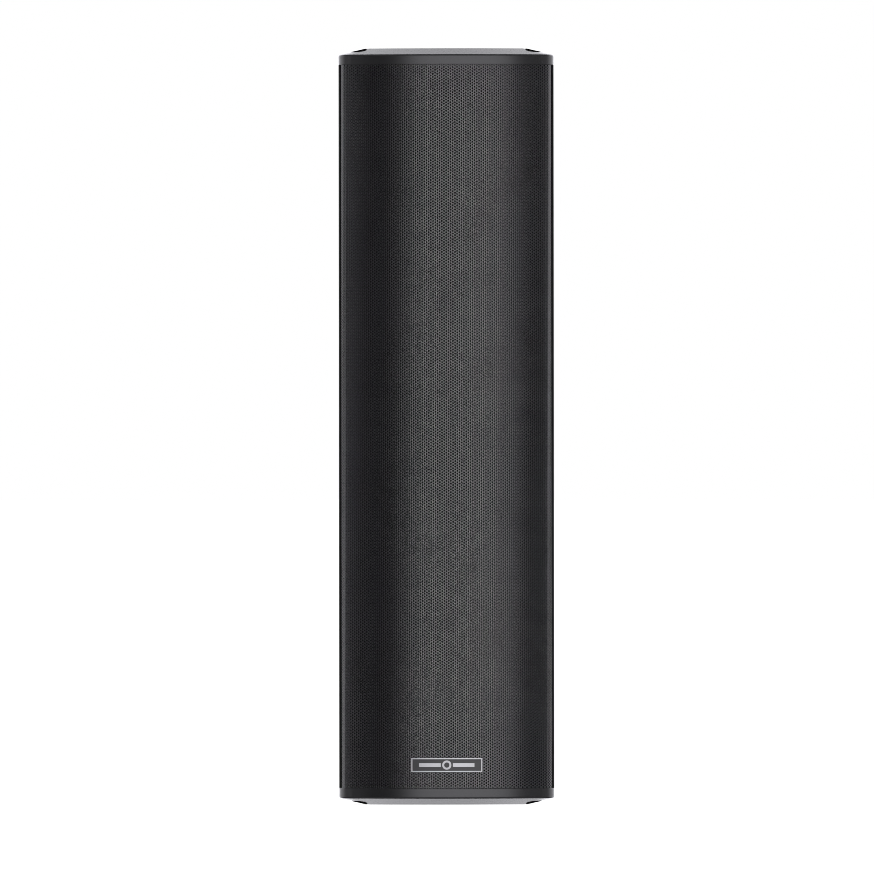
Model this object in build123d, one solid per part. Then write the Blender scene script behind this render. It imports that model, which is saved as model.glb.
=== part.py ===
from build123d import *

import math
import os

# A column loudspeaker: an extruded aluminium cabinet with a D-shaped plan, cast end caps, a rolled
# perforated steel grille, four cone woofers round one dome tweeter, and a rear terminal cup.
# Millimetres. +Z is up, the grille faces -Y, and the origin is the middle of the base.

# Overall size
WIDTH = 200.0
HEIGHT = 702.0
DEPTH = 180.0

# Plan outline of the caps: a shallow front arc, two round corners, tapered sides and a flat back
FRONT_RADIUS = 215.0
FRONT_CORNER = 20.0
BACK_CORNER = 26.0
SIDE_TAPER = math.radians(9.0)
CAP_BACK_Y = DEPTH / 2 - 2.0

# End caps: an upright band, then a low hipped roof up to a flat plateau
CAP_HEIGHT = 15.3
ROOF_RISE = 5.7
BAND_HEIGHT = CAP_HEIGHT - ROOF_RISE
EAVES_ROUND = 2.0
EAVES_END = 78.0
LIP_ROUND = 0.6
PLATEAU_INSET = 25.7
PLATEAU_CORNER = 4.0
CAP_WALL = 6.5
CAP_POCKET = 6.0

# Cabinet extrusion
WALL_INSET = 0.6
WALL = 3.0
WEB_REACH = 62.0
WEB_T = 3.0
BOSS_RADIUS = 5.5
GASKET_T = 1.0

# Screws that hold the caps
CAP_SCREW_SHANK = 2.9
CAP_SCREW_HEAD = 5.0
CAP_SCREW_HEAD_H = 6.0
CAP_SCREW_LENGTH = 30.0
CAP_SCREW_X = 80.8
CAP_SCREW_BACK = 19.2
COUNTERBORE = 6.6
COUNTERBORE_FLOOR = 5.8
LINER_IN = 5.3
LINER_LIP = 0.32
LINER_LIP_R = 7.1
FIT = 0.05

# Grille, its foam backing and the rubber strips along its edges
GRILLE_INSET = 1.3
GRILLE_T = 1.2
GRILLE_TUCK = 2.0
GROOVE_DEPTH = 2.6
EDGE_START = math.radians(75.0)
EDGE_END = math.radians(86.0)
STRIP_T = 0.9
STRIP_INSET = 0.15
FOAM_GAP = 0.4
FOAM_T = 3.0

# Badge on the lower part of the grille
BADGE_WIDTH = 66.0
BADGE_HEIGHT = 13.0
BADGE_T = 1.0
BADGE_Z = 37.0

# Baffle and the places of the drivers on it
BAFFLE_T = 6.0
BAFFLE_HALF = 73.8
TWEETER_Z = HEIGHT / 2
WOOFER_STEP = 141.0
NEAR_WOOFER = 121.0
WOOFERS = [
    TWEETER_Z - NEAR_WOOFER - WOOFER_STEP,
    TWEETER_Z - NEAR_WOOFER,
    TWEETER_Z + NEAR_WOOFER,
    TWEETER_Z + NEAR_WOOFER + WOOFER_STEP,
]
BAFFLE_SCREW_X = 67.9
BAFFLE_SCREW_Z = [24.0, 159.5, 290.0, 412.0, 542.5, 678.0]

# Woofer, measured from the baffle's front face, positive towards the rear
FRAME_R = 68.0
FRAME_T = 3.0
SEAL_T = 1.0
CUTOUT_R = 59.2
FRAME_SCREW_R = 63.0
LEDGE = 0.6
ROLL_R = 51.0
ROLL_OUTER = 4.6
SKIN = 0.7
SPIDER_DEPTH = 30.4
FRAME_DEPTH = 40.5
FORMER_IN = 12.5
FORMER_OUT = 12.9
WINDING_OUT = 13.25
POLE_R = 12.05
GAP_R = 13.65
TOP_PLATE_T = 5.0
MAGNET_T = 14.0
YOKE_T = 5.0
WINDOW_COUNT = 6

# Tweeter, measured in the same way
TWEETER_HALF = 48.0
TWEETER_T = 4.0
HORN_MOUTH = 43.0
HORN_THROAT = 17.0
HORN_BODY = 38.0
HORN_DEPTH = 8.0
CHAMBER = 10.4
TWEETER_CUTOUT = 39.0
TWEETER_SCREW = 41.5

# Terminal cup in the back
CUP_Z = 250.0
CUP_FLANGE = (108.0, 100.0)
CUP_BODY = (88.0, 80.0)
CUP_WALL = 2.5
CUP_FLOOR_Y = 62.5
CUP_SCREWS = [(x, z) for x in (-49.0, 49.0) for z in (-45.0, 0.0, 45.0)]
KNOB_X = 20.0
KNOB_R = 11.0
CONNECTOR_X = -18.0
PIN_PLACES = [-7.8, -2.6, 2.6, 7.8]

# Rear M6 inserts: two rectangles for a bracket, and one for a safety cable
INSERT_R = 4.5
INSERT_THREAD = 2.5
INSERT_LENGTH = 12.0
INSERT_X = 40.0
INSERT_HALF_Z = 25.0
INSERT_PATTERNS = [120.0, 582.0]
SAFETY_Z = 650.0

# Electronics on the inside of the back wall
BOARD_Z = 400.0
BOARD = (110.0, 70.0, 1.6)
BOARD_OFF = 10.8
TRANSFORMER_Z = 176.0
CORE = (66.0, 36.0, 55.0)
LEG = 22.0
LEAD_R = 1.5

# Worked out from the above
FRONT_CENTRE_Y = FRONT_RADIUS - DEPTH / 2
CORNER_X = WIDTH / 2 - FRONT_CORNER
CORNER_Y = FRONT_CENTRE_Y - math.sqrt((FRONT_RADIUS - FRONT_CORNER) ** 2 - CORNER_X**2)
NORMAL_X = math.cos(SIDE_TAPER)
NORMAL_Y = math.sin(SIDE_TAPER)
SIDE_DISTANCE = NORMAL_X * CORNER_X + NORMAL_Y * CORNER_Y + FRONT_CORNER
BAFFLE_Y = CORNER_Y - BAFFLE_T
BACK_OUT_Y = CAP_BACK_Y - WALL_INSET
BACK_IN_Y = BACK_OUT_Y - WALL
BODY_LOW = CAP_HEIGHT + GASKET_T
BODY_HIGH = HEIGHT - CAP_HEIGHT - GASKET_T
BIG = 1000.0


def corner_arc(x, y, radius, start, end):
    """An arc round (x, y) between two directions, each an angle from +X."""
    points = []
    for angle in (start, (start + end) / 2, end):
        points.append((x + radius * math.cos(angle), y + radius * math.sin(angle)))
    return ThreePointArc(*points)


def side_centre_x(y, inset, radius):
    """X of a circle's centre at y that touches the side line from inside."""
    return (SIDE_DISTANCE - inset - radius - NORMAL_Y * y) / NORMAL_X


def plan_outline(inset, front_corner=None, back_corner=None):
    """The D-shaped plan as a face, drawn inset inside the caps' outer edge."""
    front = FRONT_CORNER - inset if front_corner is None else front_corner
    back = BACK_CORNER - inset if back_corner is None else back_corner
    # the front corner touches the side line and the front arc from inside
    reach = FRONT_RADIUS - inset - front
    off = SIDE_DISTANCE - inset - front - NORMAL_Y * FRONT_CENTRE_Y
    along = math.sqrt(reach**2 - off**2)
    cx = off * NORMAL_X + along * NORMAL_Y
    cy = FRONT_CENTRE_Y + off * NORMAL_Y - along * NORMAL_X
    by = CAP_BACK_Y - inset - back
    bx = side_centre_x(by, inset, back)
    meets = math.atan2(cy - FRONT_CENTRE_Y, cx)
    right = [
        corner_arc(cx, cy, front, meets, SIDE_TAPER),
        Line(
            (cx + front * NORMAL_X, cy + front * NORMAL_Y),
            (bx + back * NORMAL_X, by + back * NORMAL_Y),
        ),
        corner_arc(bx, by, back, SIDE_TAPER, math.pi / 2),
    ]
    left = [edge.mirror(Plane.YZ) for edge in right]
    nose = corner_arc(0, FRONT_CENTRE_Y, FRONT_RADIUS - inset, -math.pi - meets, meets)
    rear = Line((-bx, by + back), (bx, by + back))
    return Face(Wire([nose, *right, rear, *left]))


def prism(face, low, high):
    """A plan face carried up from one height to another."""
    return extrude(Pos(0, 0, low) * face, amount=high - low, dir=(0, 0, 1))


def block(x, y, z):
    """A box given by its range along each axis."""
    middle = [(a + b) / 2 for a, b in (x, y, z)]
    return Pos(*middle) * Box(x[1] - x[0], y[1] - y[0], z[1] - z[0])


def post(x, y, radius, low, high):
    """An upright cylinder."""
    return Pos(x, y, (low + high) / 2) * Cylinder(radius, high - low)


def rod(x, z, radius, front, back):
    """A cylinder along Y."""
    return Pos(x, (front + back) / 2, z) * Rot(90, 0, 0) * Cylinder(radius, back - front)


def turned(*points):
    """A closed outline of (radius, depth) points turned round the Y axis."""
    return revolve(Face(Wire.make_polygon([(r, d, 0) for r, d in points], close=True)), Axis.Y)


def ring(inner, outer, front, back):
    """A plain ring or disc round the Y axis."""
    return turned((inner, front), (outer, front), (outer, back), (inner, back))


def half_roll(radius, depth, outer, skin):
    """The half-round roll of a surround, bulging to the front."""
    section = Pos(radius, depth) * (Circle(outer) - Circle(outer - skin))
    section &= Pos(radius, depth - outer) * Rectangle(4 * outer, 2 * outer)
    return revolve(section, Axis.Y)


def window(radius, depth, width, height, angle):
    """A cutter through a basket's side at one angle."""
    cutter = Pos(0, depth, radius) * Box(width, height, radius)
    return Rot(0, angle, 0) * cutter


def plate(width, height, corner, front, back):
    """A rounded rectangle facing Y, between two depths."""
    face = Plane.XZ * RectangleRounded(width, height, corner)
    return extrude(Pos(0, front, 0) * face, amount=back - front, dir=(0, 1, 0))


def cap_screw_places():
    """The four cap screws: in line with the front corners, and inside the back corners."""
    back_y = CAP_BACK_Y - BACK_CORNER
    step = (BACK_CORNER - CAP_SCREW_BACK) / math.sqrt(2)
    back_x = side_centre_x(back_y, 0, BACK_CORNER) + step
    places = []
    for side in (-1, 1):
        places.append((side * CAP_SCREW_X, CORNER_Y))
        places.append((side * back_x, back_y + step))
    return places


def rounded(angles, radius, limit, way):
    """A rounding of the cap's outer edge up to a height, as a stack of short ruled steps."""
    outlines = []
    for angle in angles:
        turn = math.radians(angle)
        height = limit - way * radius * (1 - math.sin(turn))
        outlines.append(Pos(0, 0, height) * plan_outline(radius * (1 - math.cos(turn))))
    pairs = list(zip(outlines, outlines[1:]))
    solid = loft(list(pairs[0]), ruled=True)
    for low, high in pairs[1:]:
        solid += loft([low, high], ruled=True)
    return solid


def cap_blank():
    """The outer shape of the top cap, with the underside of its band at z = 0."""
    body = prism(plan_outline(0), LIP_ROUND, BAND_HEIGHT - EAVES_ROUND)
    body += rounded([90, 60, 30, 0], LIP_ROUND, 0, -1)
    # the rounded eaves, and then the roof
    body += rounded([0, 20, 40, 60, EAVES_END], EAVES_ROUND, BAND_HEIGHT, 1)
    turn = math.radians(EAVES_END)
    low = BAND_HEIGHT - EAVES_ROUND * (1 - math.sin(turn))
    eaves = Pos(0, 0, low) * plan_outline(EAVES_ROUND * (1 - math.cos(turn)))
    top = plan_outline(PLATEAU_INSET, PLATEAU_CORNER, PLATEAU_CORNER)
    return body + loft([eaves, Pos(0, 0, CAP_HEIGHT) * top], ruled=True)


def cap():
    """The top cap, hollow underneath, with its groove and its screw recesses."""
    body = cap_blank()
    # the pocket under the roof leaves a wall and a pillar round each screw
    pocket = prism(plan_outline(CAP_WALL), 0, CAP_POCKET)
    for x, y in cap_screw_places():
        pocket -= post(x, y, COUNTERBORE + 2, 0, CAP_POCKET)
    body -= pocket
    # the groove that holds the grille's end
    groove = prism(plan_outline(GRILLE_INSET - 0.15), 0, GROOVE_DEPTH)
    groove -= prism(plan_outline(GRILLE_INSET + GRILLE_T + 0.15), 0, GROOVE_DEPTH)
    groove &= block((-BIG, BIG), (-BIG, CORNER_Y), (0, GROOVE_DEPTH))
    body -= groove
    for x, y in cap_screw_places():
        body -= post(x, y, CAP_SCREW_SHANK + 0.3, 0, CAP_HEIGHT)
        body -= post(x, y, COUNTERBORE, COUNTERBORE_FLOOR, CAP_HEIGHT)
    return body


def top_and_bottom(shape):
    """A shape made for the top cap, placed at the top and mirrored to the bottom."""
    top = Pos(0, 0, HEIGHT - CAP_HEIGHT) * shape
    bottom = Pos(0, 0, CAP_HEIGHT) * mirror(shape, about=Plane.XY)
    return top, bottom


def cap_gasket():
    """A flat seal on the end of the cabinet and the baffle, just under the cap."""
    outer = prism(plan_outline(WALL_INSET + 0.8), -GASKET_T, 0)
    outer &= block((-BIG, BIG), (BAFFLE_Y + 1, BIG), (-GASKET_T, 0))
    outer -= block((BAFFLE_HALF, BIG), (-BIG, CORNER_Y), (-GASKET_T, 0))
    outer -= block((-BIG, -BAFFLE_HALF), (-BIG, CORNER_Y), (-GASKET_T, 0))
    inner = prism(plan_outline(WALL_INSET + WALL + 1), -GASKET_T, 0)
    inner &= block((-BIG, BIG), (CORNER_Y + BOSS_RADIUS + 0.5, BIG), (-GASKET_T, 0))
    seal = outer - inner
    for x, y in cap_screw_places():
        seal -= post(x, y, CAP_SCREW_SHANK + 0.5, -GASKET_T, 0)
    return seal


def cap_screw_liners():
    """The rubber sleeve in each screw recess, with a lip that follows the roof."""
    blank = cap_blank()
    raised = Pos(0, 0, LINER_LIP) * blank
    liners = []
    for x, y in cap_screw_places():
        hole = post(x, y, LINER_IN, 0, CAP_HEIGHT)
        lip = (post(x, y, LINER_LIP_R, COUNTERBORE_FLOOR, CAP_HEIGHT) & raised) - blank
        sleeve = post(x, y, COUNTERBORE - FIT, COUNTERBORE_FLOOR, CAP_HEIGHT) & raised
        liners += top_and_bottom(lip + sleeve - hole)
    return liners


def cap_screw():
    """A socket cap screw on its seat, pointing down from z = 0."""
    screw = post(0, 0, CAP_SCREW_HEAD, 0, CAP_SCREW_HEAD_H)
    screw += post(0, 0, CAP_SCREW_SHANK, -CAP_SCREW_LENGTH, 0)
    screw = chamfer(screw.edges().group_by(Axis.Z)[-1], 0.5)
    socket = extrude(RegularPolygon(2.9, 6), amount=3.2)
    return screw - Pos(0, 0, CAP_SCREW_HEAD_H - 3.2) * socket


def cap_screws():
    """All eight, four in each cap."""
    screws = []
    for x, y in cap_screw_places():
        screws += top_and_bottom(Pos(x, y, COUNTERBORE_FLOOR) * cap_screw())
    return screws


def insert_places():
    """Every rear insert, as (x, z)."""
    places = [(0.0, SAFETY_Z)]
    for middle in INSERT_PATTERNS:
        for x in (-INSERT_X, INSERT_X):
            for z in (middle - INSERT_HALF_Z, middle + INSERT_HALF_Z):
                places.append((x, z))
    return places


def cabinet_extrusion():
    """The C-shaped profile: tapered sides, flat back, inner webs for the baffle, screw ports."""
    span = (BODY_LOW, BODY_HIGH)
    body = prism(plan_outline(WALL_INSET), *span)
    body -= prism(plan_outline(WALL_INSET + WALL), *span)
    body &= block((-BIG, BIG), (CORNER_Y, BIG), span)
    inside = side_centre_x(CORNER_Y, WALL_INSET + WALL / 2, 0)
    for side in (-1, 1):
        reach = sorted((side * WEB_REACH, side * inside))
        body += block(reach, (CORNER_Y, CORNER_Y + WEB_T), span)
    for x, y in cap_screw_places():
        body += post(x, y, BOSS_RADIUS, *span)
        if y > 0:
            # a diagonal rib ties the back ports to the corner
            lean = 45.0 if x > 0 else 135.0
            rib = Rot(0, 0, lean) * block((3, 18.5), (-1.5, 1.5), span)
            body += Pos(x, y, 0) * rib
    for x, y in cap_screw_places():
        body -= post(x, y, CAP_SCREW_SHANK + FIT, *span)
    cutout = plate(CUP_BODY[0] + 1, CUP_BODY[1] + 1, 6.5, BACK_IN_Y - 1, BACK_OUT_Y + 1)
    body -= Pos(0, 0, CUP_Z) * cutout
    for x, z in insert_places():
        body -= rod(x, z, INSERT_R + FIT, BACK_IN_Y - 1, BACK_OUT_Y + 1)
    for x, z in CUP_SCREWS:
        body -= rod(x, CUP_Z + z, 1.65, BACK_IN_Y - 1, BACK_OUT_Y + 1)
    for side in (-1, 1):
        for z in BAFFLE_SCREW_Z:
            body -= rod(side * BAFFLE_SCREW_X, z, 1.65, CORNER_Y - 1, CORNER_Y + WEB_T + 1)
    return body


def rear_inserts():
    """Threaded M6 rivet inserts, each with a flange outside and a closed body inside."""
    inserts = []
    for x, z in insert_places():
        body = rod(x, z, INSERT_R, BACK_OUT_Y - INSERT_LENGTH - 2, BACK_OUT_Y)
        body += rod(x, z, INSERT_R + 2, BACK_OUT_Y, BACK_OUT_Y + 1.2)
        body -= rod(x, z, INSERT_THREAD, BACK_OUT_Y + 1.2 - INSERT_LENGTH, BACK_OUT_Y + 2)
        inserts.append(body)
    return inserts


def follows_front(inset, thick, edge, low, high):
    """A rolled sheet behind the front outline, ending at an angle round each front corner."""
    outer = FRONT_CORNER - inset
    inner = outer - thick
    # angles here are from -Y round the corner, so +X is a quarter turn on
    turn = edge - math.pi / 2
    meets = math.atan2(CORNER_Y - FRONT_CENTRE_Y, CORNER_X)
    shape = [
        corner_arc(0, FRONT_CENTRE_Y, FRONT_RADIUS - inset, -math.pi - meets, meets),
        corner_arc(CORNER_X, CORNER_Y, outer, meets, turn),
        Line(polar(outer, turn, 1), polar(inner, turn, 1)),
        corner_arc(CORNER_X, CORNER_Y, inner, turn, meets),
        corner_arc(0, FRONT_CENTRE_Y, FRONT_RADIUS - inset - thick, meets, -math.pi - meets),
        corner_arc(-CORNER_X, CORNER_Y, inner, -math.pi - meets, -math.pi - turn),
        Line(polar(inner, turn, -1), polar(outer, turn, -1)),
        corner_arc(-CORNER_X, CORNER_Y, outer, -math.pi - turn, -math.pi - meets),
    ]
    return prism(Face(Wire(shape)), low, high)


def polar(radius, angle, side):
    """A point round the front corner on one side."""
    return (side * (CORNER_X + radius * math.cos(angle)), CORNER_Y + radius * math.sin(angle))


def front_grille():
    """The rolled steel sheet, whose perforation is left to the finished surface."""
    low = CAP_HEIGHT - GRILLE_TUCK
    return follows_front(GRILLE_INSET, GRILLE_T, EDGE_END, low, HEIGHT - low)


def grille_foam():
    """The thin foam layer behind the grille."""
    inset = GRILLE_INSET + GRILLE_T + FOAM_GAP
    return follows_front(inset, FOAM_T, EDGE_START, CAP_HEIGHT + 1.2, HEIGHT - CAP_HEIGHT - 1.2)


def edge_strip(side):
    """A rubber channel between the grille's edge and the cabinet's side."""
    outer = FRONT_CORNER - STRIP_INSET
    inner = FRONT_CORNER - GRILLE_INSET - GRILLE_T - STRIP_T

    def sector(small, large, start, end):
        start -= math.pi / 2
        end -= math.pi / 2
        edges = [
            corner_arc(CORNER_X, CORNER_Y, large, start, end),
            Line(polar(large, end, 1), polar(small, end, 1)),
            corner_arc(CORNER_X, CORNER_Y, small, end, start),
            Line(polar(small, start, 1), polar(large, start, 1)),
        ]
        return Face(Wire(edges))

    strip = prism(sector(inner, outer, EDGE_START, math.pi / 2), CAP_HEIGHT, HEIGHT - CAP_HEIGHT)
    slot_in = FRONT_CORNER - GRILLE_INSET - GRILLE_T - FIT
    slot_out = FRONT_CORNER - GRILLE_INSET + FIT
    slot = sector(slot_in, slot_out, EDGE_START - 0.1, EDGE_END + 0.003)
    strip -= prism(slot, 0, HEIGHT)
    return strip if side > 0 else mirror(strip, about=Plane.YZ)


def badge():
    """A plain curved plate on the face of the grille."""
    half = math.asin(BADGE_WIDTH / 2 / FRONT_RADIUS)
    outer = FRONT_RADIUS - GRILLE_INSET + BADGE_T
    inner = FRONT_RADIUS - GRILLE_INSET
    down = -math.pi / 2
    edges = [corner_arc(0, FRONT_CENTRE_Y, outer, down - half, down + half)]
    for angle, first, last in ((down + half, outer, inner), (down - half, inner, outer)):
        ends = [
            (r * math.cos(angle), FRONT_CENTRE_Y + r * math.sin(angle)) for r in (first, last)
        ]
        edges.append(Line(*ends))
    edges.append(corner_arc(0, FRONT_CENTRE_Y, inner, down + half, down - half))
    return prism(Face(Wire(edges)), BADGE_Z - BADGE_HEIGHT / 2, BADGE_Z + BADGE_HEIGHT / 2)


def frame_screw_places(middle):
    """Four screws round one woofer."""
    step = FRAME_SCREW_R / math.sqrt(2)
    return [(x, middle + z) for x in (-step, step) for z in (-step, step)]


def tweeter_screw_places():
    """Four screws in the corners of the tweeter's plate."""
    step = TWEETER_SCREW
    return [(x, TWEETER_Z + z) for x in (-step, step) for z in (-step, step)]


def baffle_screw_places():
    """Two rows of screws into the cabinet's webs."""
    return [(side * BAFFLE_SCREW_X, z) for side in (-1, 1) for z in BAFFLE_SCREW_Z]


def front_baffle():
    """The board that carries the five drivers."""
    body = block((-BAFFLE_HALF, BAFFLE_HALF), (BAFFLE_Y, CORNER_Y), (BODY_LOW, BODY_HIGH))
    for z in WOOFERS:
        body -= rod(0, z, CUTOUT_R, BAFFLE_Y - 1, CORNER_Y + 1)
        for x, at in frame_screw_places(z):
            body -= rod(x, at, 1.95, BAFFLE_Y - 1, CORNER_Y + 1)
    body -= rod(0, TWEETER_Z, TWEETER_CUTOUT, BAFFLE_Y - 1, CORNER_Y + 1)
    for x, z in tweeter_screw_places():
        body -= rod(x, z, 1.65, BAFFLE_Y - 1, CORNER_Y + 1)
    for x, z in baffle_screw_places():
        body -= rod(x, z, 1.9, BAFFLE_Y - 1, CORNER_Y + 1)
    return body


def panel_screw(x, z, seat, head, head_h, shank, length):
    """A pan-head screw driven rearwards from its seat, with a cross recess."""
    screw = rod(x, z, head, seat - head_h, seat) + rod(x, z, shank, seat, seat + length)
    cross = Box(head * 1.2, 2.4, 0.9) + Box(0.9, 2.4, head * 1.2)
    return screw - Pos(x, seat - head_h, z) * cross


def woofer_basket():
    """The pressed frame: flange, ledge for the surround, open side, seats for spider and motor."""
    body = turned(
        (57.7, -FRAME_T - SEAL_T),
        (FRAME_R, -FRAME_T - SEAL_T),
        (FRAME_R, -SEAL_T),
        (58.9, -SEAL_T),
        (58.9, 3.2),
        (42.0, 30.0),
        (42.0, FRAME_DEPTH),
        (14.5, FRAME_DEPTH),
        (14.5, FRAME_DEPTH - 2),
        (40.4, FRAME_DEPTH - 2),
        (40.4, SPIDER_DEPTH + 1.6),
        (36.5, SPIDER_DEPTH + 1.6),
        (36.5, SPIDER_DEPTH),
        (40.6, SPIDER_DEPTH),
        (40.6, SPIDER_DEPTH - 1.8),
        (55.0, 5.6),
        (55.0, LEDGE),
        (57.7, LEDGE),
    )
    for i in range(WINDOW_COUNT):
        body -= window(54.0, 17.0, 34.0, 17.0, i * 360 / WINDOW_COUNT)
    for x, z in frame_screw_places(0):
        body -= rod(x, z, 2.3, -FRAME_T - SEAL_T - 1, 0)
    return body


def woofer_motor():
    """Front plate, ring magnet and yoke with a vented pole, as three solids."""
    front_plate = ring(GAP_R, 38.0, FRAME_DEPTH, FRAME_DEPTH + TOP_PLATE_T)
    magnet_front = FRAME_DEPTH + TOP_PLATE_T
    magnet_back = magnet_front + MAGNET_T
    magnet = ring(18.0, 42.0, magnet_front, magnet_back)
    yoke = turned(
        (4.0, FRAME_DEPTH),
        (POLE_R, FRAME_DEPTH),
        (POLE_R, magnet_back),
        (40.0, magnet_back),
        (40.0, magnet_back + YOKE_T),
        (4.0, magnet_back + YOKE_T),
    )
    return [front_plate, magnet, yoke]


def woofer_cone():
    """The paper cone with a flat rim, and the dust cap glued over its neck."""
    cone = turned(
        (FORMER_OUT, 21.5),
        (43.0, LEDGE),
        (46.8, LEDGE),
        (46.8, LEDGE + 0.9),
        (43.4, LEDGE + 0.9),
        (FORMER_OUT, 22.7),
    )
    radius, tip, rim = 26.4, 11.5, 17.0
    centre = Pos(0, tip + radius)
    dome = centre * (Circle(radius) - Circle(radius - 0.6))
    dome &= Pos(rim / 2, tip + 4) * Rectangle(rim, 8)
    return [cone, revolve(dome, Axis.Y)]


def woofer_voice_coil():
    """The former tube with its winding."""
    return turned(
        (FORMER_IN, 20.0),
        (FORMER_OUT, 20.0),
        (FORMER_OUT, 39.0),
        (WINDING_OUT, 39.0),
        (WINDING_OUT, 51.0),
        (FORMER_OUT, 51.0),
        (FORMER_OUT, 52.0),
        (FORMER_IN, 52.0),
    )


def woofer_surround():
    """A rubber half-roll between the cone's rim and the frame's ledge."""
    body = half_roll(ROLL_R, LEDGE, ROLL_OUTER, SKIN)
    body += ring(43.6, 46.9, LEDGE - SKIN, LEDGE)
    body += ring(55.1, 57.5, LEDGE - SKIN, LEDGE)
    return body


def woofer_spider():
    """The corrugated disc that centres the voice coil."""
    waves, wave = 4, 1.1
    inner, outer = FORMER_OUT, 36.5
    step = (outer - inner) / (2 * waves)
    front = [(inner, SPIDER_DEPTH - 0.6)]
    for i in range(1, 2 * waves):
        rise = wave if i % 2 else 0.0
        front.append((inner + i * step, SPIDER_DEPTH - 0.6 - rise))
    front += [(outer, SPIDER_DEPTH - 0.6), (40.2, SPIDER_DEPTH - 0.6)]
    back = [(r, d + 0.6) for r, d in reversed(front)]
    return turned(*front, *back)


def woofer_gasket():
    """The seal between a woofer's flange and the baffle."""
    body = ring(CUTOUT_R, FRAME_R - 0.5, -SEAL_T, 0)
    for x, z in frame_screw_places(0):
        body -= rod(x, z, 2.3, -SEAL_T - 1, 1)
    return body


def tweeter_waveguide():
    """The moulded front plate with a conical horn, and the rim that seats the motor."""
    body = plate(2 * TWEETER_HALF, 2 * TWEETER_HALF, 8.0, -TWEETER_T, 0)
    body += ring(0, HORN_BODY, 0, CHAMBER)
    horn = [(0, -TWEETER_T), (HORN_MOUTH, -TWEETER_T), (HORN_THROAT, HORN_DEPTH)]
    body -= turned(*horn, (HORN_THROAT, CHAMBER), (0, CHAMBER))
    body -= ring(0, 24.2, CHAMBER - 0.4, CHAMBER)
    for x, z in tweeter_screw_places():
        body -= rod(x, z - TWEETER_Z, 1.9, -TWEETER_T - 1, 1)
    return body


def tweeter_diaphragm():
    """The dome and the coil former behind it, in one piece."""
    radius, tip, rim, skin = 18.1, 5.2, 12.5, 0.4
    dome = Pos(0, tip + radius) * (Circle(radius) - Circle(radius - skin))
    dome &= Pos(rim / 2, tip + 2.4) * Rectangle(rim, 4.8)
    former = turned(
        (12.2, 9.7),
        (rim, 9.7),
        (rim, 11.8),
        (12.8, 11.8),
        (12.8, 15.4),
        (12.2, 15.4),
    )
    return revolve(dome, Axis.Y) + former


def tweeter_surround():
    """The dome's own small half-roll and the flange that is clamped behind the horn."""
    body = half_roll(14.6, CHAMBER, 1.9, 0.4)
    body += ring(12.5, 13.0, CHAMBER - 0.4, CHAMBER)
    body += ring(16.2, 24.0, CHAMBER - 0.4, CHAMBER)
    return body


def tweeter_motor():
    """Front plate, ring magnet and yoke, as three solids."""
    front_plate = ring(13.2, 30.0, CHAMBER, CHAMBER + 4)
    magnet = ring(16.0, 34.0, CHAMBER + 4, CHAMBER + 14)
    yoke = turned(
        (0, CHAMBER + 0.8),
        (11.8, CHAMBER + 0.8),
        (11.8, CHAMBER + 14),
        (32.0, CHAMBER + 14),
        (32.0, CHAMBER + 18),
        (0, CHAMBER + 18),
    )
    return [front_plate, magnet, yoke]


def terminal_cup():
    """The recessed rear dish with its flange."""
    back = DEPTH / 2
    body = plate(*CUP_FLANGE, 7.0, BACK_OUT_Y, back)
    body += plate(*CUP_BODY, 6.0, CUP_FLOOR_Y - CUP_WALL, BACK_OUT_Y)
    inner = [side - 2 * CUP_WALL for side in CUP_BODY]
    body -= plate(*inner, 3.5, CUP_FLOOR_Y, back + 1)
    body -= rod(KNOB_X, 0, 4.6, CUP_FLOOR_Y - CUP_WALL - 1, CUP_FLOOR_Y + 1)
    body -= Pos(CONNECTOR_X, CUP_FLOOR_Y, 0) * Box(22.2, 8, 9.2)
    for x, z in CUP_SCREWS:
        body -= rod(x, z, 1.9, BACK_OUT_Y - 1, back + 1)
        sink = Rot(90, 0, 0) * Cone(3.8, 1.9, 1.9)
        body -= Pos(x, back - 0.95, z) * sink
    return body


def terminal_cup_gasket():
    """A flat frame inside the wall, clamped round the cup's body."""
    body = plate(CUP_BODY[0] + 14, CUP_BODY[1] + 14, 8.0, BACK_IN_Y - 1.5, BACK_IN_Y)
    body -= plate(CUP_BODY[0] + 0.1, CUP_BODY[1] + 0.1, 6.0, BACK_IN_Y - 3, BACK_IN_Y + 1)
    return body - wall_screw_holes()


def wall_screw_holes():
    """Clearance for the cup's screws where they come through the wall."""
    holes = rod(CUP_SCREWS[0][0], CUP_SCREWS[0][1], 1.9, BACK_IN_Y - 4, BACK_IN_Y + 1)
    for x, z in CUP_SCREWS[1:]:
        holes += rod(x, z, 1.9, BACK_IN_Y - 4, BACK_IN_Y + 1)
    return holes


def terminal_cup_screw():
    """A countersunk screw, flush with the cup's flange and driven towards -Y."""
    back = DEPTH / 2
    screw = Pos(0, back - 0.9, 0) * Rot(90, 0, 0) * Cone(3.6, 1.6, 1.8)
    screw += rod(0, 0, 1.6, back - 12, back - 0.9)
    return screw - Pos(0, back, 0) * (Box(4.0, 1.6, 0.8) + Box(0.8, 1.6, 4.0))


def input_connector():
    """A four-way pluggable header: an open shroud with a bore for each pin."""
    floor = CUP_FLOOR_Y
    body = block((-13, 13), (floor, floor + 13), (-6.5, 6.5))
    body += block((-11, 11), (floor - 6, floor), (-4.5, 4.5))
    body -= block((-11.4, 11.4), (floor + 2, floor + 14), (-4.9, 4.9))
    for x in PIN_PLACES:
        body -= block((x - 0.52, x + 0.52), (floor - 7, floor + 3), (-0.52, 0.52))
    return Pos(CONNECTOR_X, 0, CUP_Z) * body


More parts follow.
